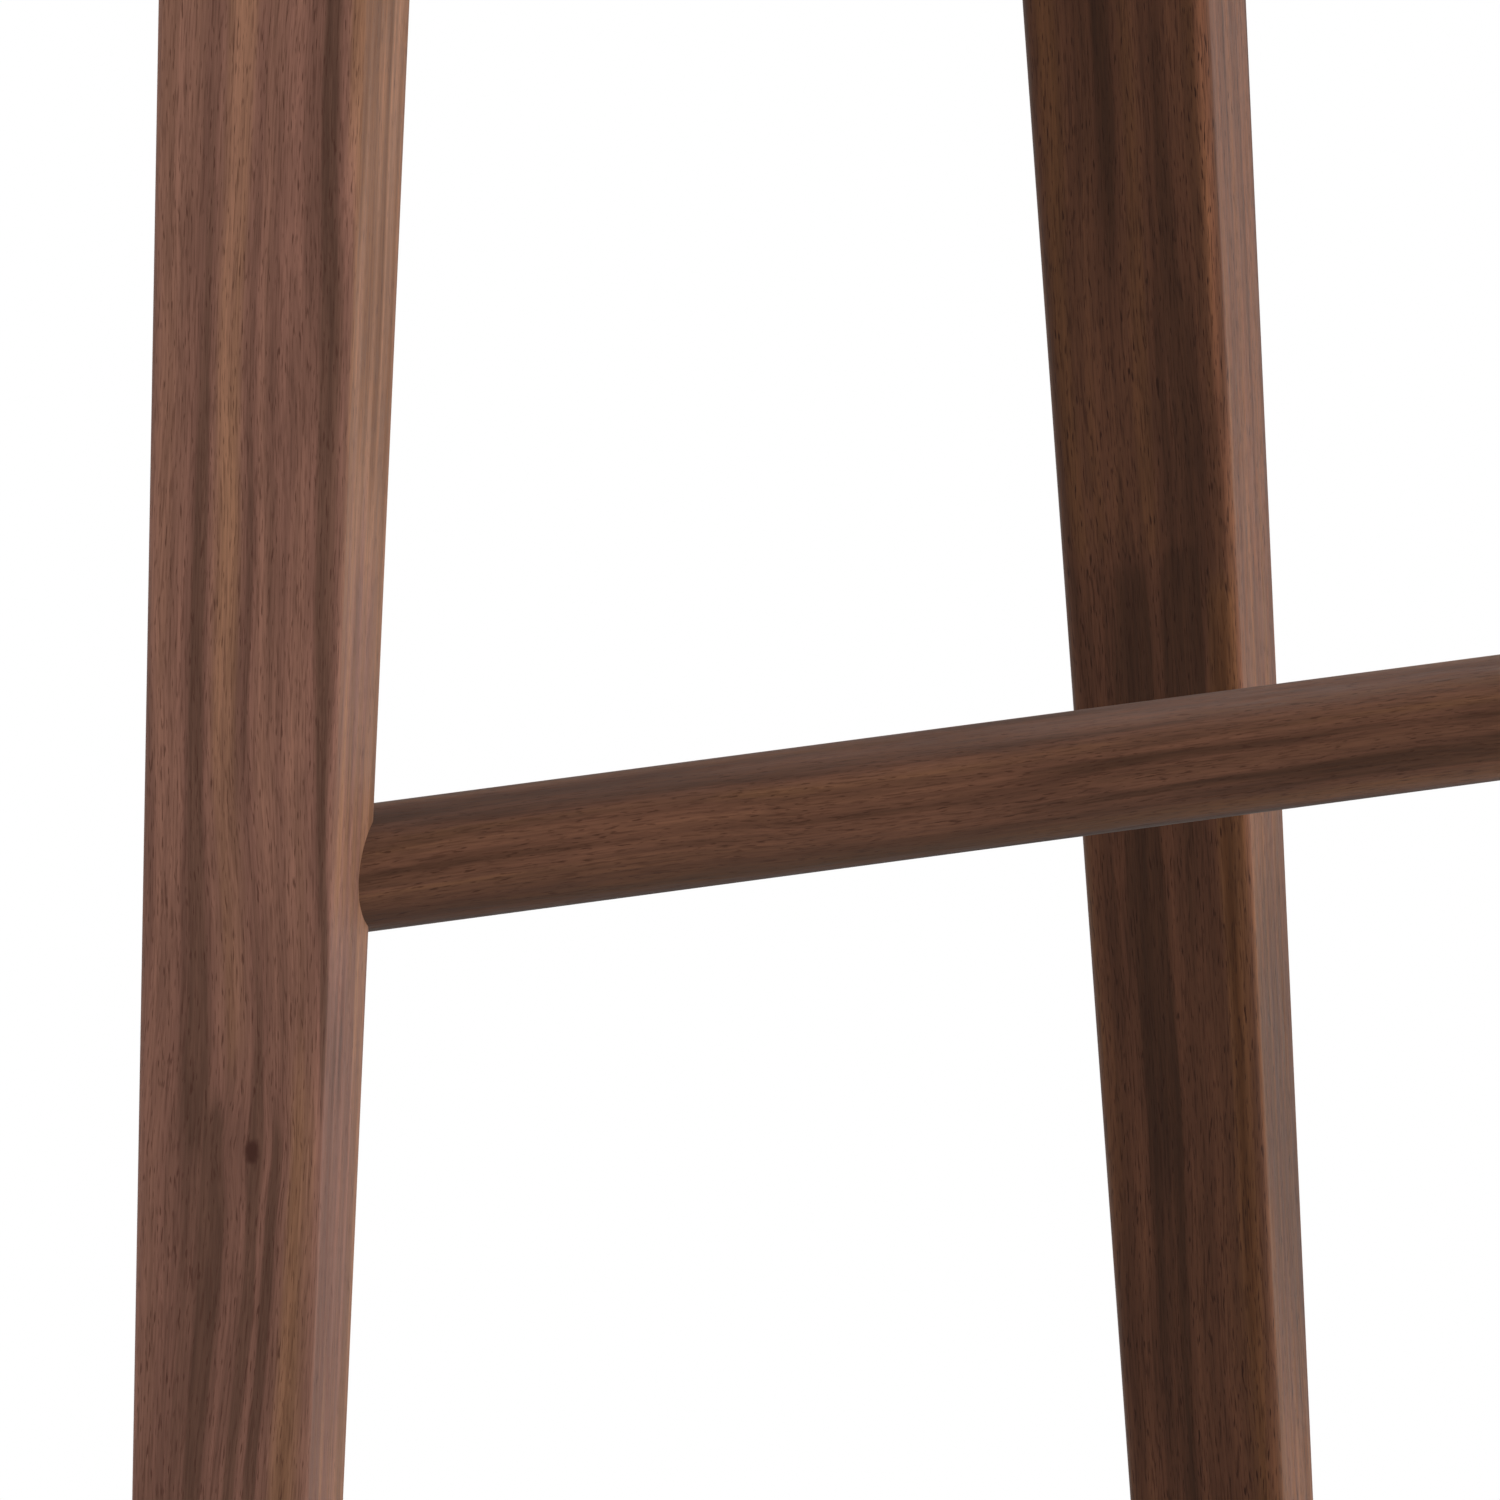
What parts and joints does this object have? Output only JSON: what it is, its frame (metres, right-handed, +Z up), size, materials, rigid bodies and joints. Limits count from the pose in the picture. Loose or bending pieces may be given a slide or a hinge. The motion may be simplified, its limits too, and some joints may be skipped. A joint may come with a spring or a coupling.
{
  "type": "folding luggage rack",
  "caption": "Walnut luggage rack on splayed tapered legs, with leather straps across round rails and side spreaders that hinge downward to fold it flat.",
  "frame": {"origin": "on the floor under the middle of the open rack", "axes": "+X along the rails, +Y to the back frame, +Z up"},
  "size_m": [0.6254, 0.432, 0.512],
  "materials": {
    "walnut": "oiled satin, straight grain",
    "leather": "dark brown bridle leather, burnished edges",
    "brass": "satin, lightly aged",
    "rubber": "matt"
  },
  "bodies": {
    "front_frame": {"front_left_leg": "walnut", "front_right_leg": "walnut", "front_top_rail": "walnut", "front_stretcher": "walnut", "front_left_pivot_lug": "brass", "front_right_pivot_lug": "brass", "front_left_glide": "rubber", "front_right_glide": "rubber", "strap_1_front_loop": "leather", "strap_2_front_loop": "leather", "strap_3_front_loop": "leather", "strap_4_front_loop": "leather", "front_strap_rivets": "brass"},
    "back_frame": {"back_left_leg": "walnut", "back_right_leg": "walnut", "back_top_rail": "walnut", "back_stretcher": "walnut", "back_left_pivot_lug": "brass", "back_right_pivot_lug": "brass", "back_left_glide": "rubber", "back_right_glide": "rubber", "strap_1_back_loop": "leather", "strap_2_back_loop": "leather", "strap_3_back_loop": "leather", "strap_4_back_loop": "leather", "back_strap_rivets": "brass"},
    "left_front_link": {"left_front_link": "walnut", "left_front_pivot_pin": "brass", "left_front_hinge_leaf": "brass", "left_front_hinge_screws": "brass", "left_hinge_pin": "brass"},
    "left_back_link": {"left_back_link": "walnut", "left_back_pivot_pin": "brass", "left_back_hinge_leaf": "brass", "left_back_hinge_screws": "brass"},
    "right_front_link": {"right_front_link": "walnut", "right_front_pivot_pin": "brass", "right_front_hinge_leaf": "brass", "right_front_hinge_screws": "brass", "right_hinge_pin": "brass"},
    "right_back_link": {"right_back_link": "walnut", "right_back_pivot_pin": "brass", "right_back_hinge_leaf": "brass", "right_back_hinge_screws": "brass"},
    "front_straps": {"strap_1_front_half": "leather", "strap_2_front_half": "leather", "strap_3_front_half": "leather", "strap_4_front_half": "leather"},
    "back_straps": {"strap_1_back_half": "leather", "strap_2_back_half": "leather", "strap_3_back_half": "leather", "strap_4_back_half": "leather"}
  },
  "joints": [
    {"name": "left_front_link_fold", "type": "hinge", "parent": "front_frame", "child": "left_front_link", "pos_m": [-0.26826, -0.15114, 0.432], "axis": [-1, 0, 0], "range_deg": [0, 88]},
    {"name": "left_hinge_fold", "type": "hinge", "parent": "left_front_link", "child": "left_back_link", "pos_m": [-0.26826, 0, 0.446], "axis": [-1, 0, 0], "range_deg": [-176, 0]},
    {"name": "back_frame_fold", "type": "hinge", "parent": "left_back_link", "child": "back_frame", "pos_m": [-0.26826, 0.15114, 0.432], "axis": [-1, 0, 0], "range_deg": [0, 88]},
    {"name": "right_front_link_fold", "type": "hinge", "parent": "front_frame", "child": "right_front_link", "pos_m": [0.26826, -0.15114, 0.432], "axis": [-1, 0, 0], "range_deg": [0, 88]},
    {"name": "right_hinge_fold", "type": "hinge", "parent": "right_front_link", "child": "right_back_link", "pos_m": [0.26826, 0, 0.446], "axis": [-1, 0, 0], "range_deg": [-176, 0]},
    {"name": "front_straps_hang", "type": "hinge", "parent": "front_frame", "child": "front_straps", "pos_m": [0, -0.14389, 0.5033], "axis": [-1, 0, 0], "range_deg": [0, 88]},
    {"name": "back_straps_hang", "type": "hinge", "parent": "back_frame", "child": "back_straps", "pos_m": [0, 0.14389, 0.5033], "axis": [-1, 0, 0], "range_deg": [-88, 0]}
  ],
  "couplings": [
    {"joint": "left_hinge_fold", "follows": "left_front_link_fold", "ratio": -2},
    {"joint": "back_frame_fold", "follows": "left_front_link_fold", "ratio": 1},
    {"joint": "right_front_link_fold", "follows": "left_front_link_fold", "ratio": 1},
    {"joint": "right_hinge_fold", "follows": "left_front_link_fold", "ratio": -2},
    {"joint": "front_straps_hang", "follows": "left_front_link_fold", "ratio": 1},
    {"joint": "back_straps_hang", "follows": "left_front_link_fold", "ratio": -1}
  ]
}
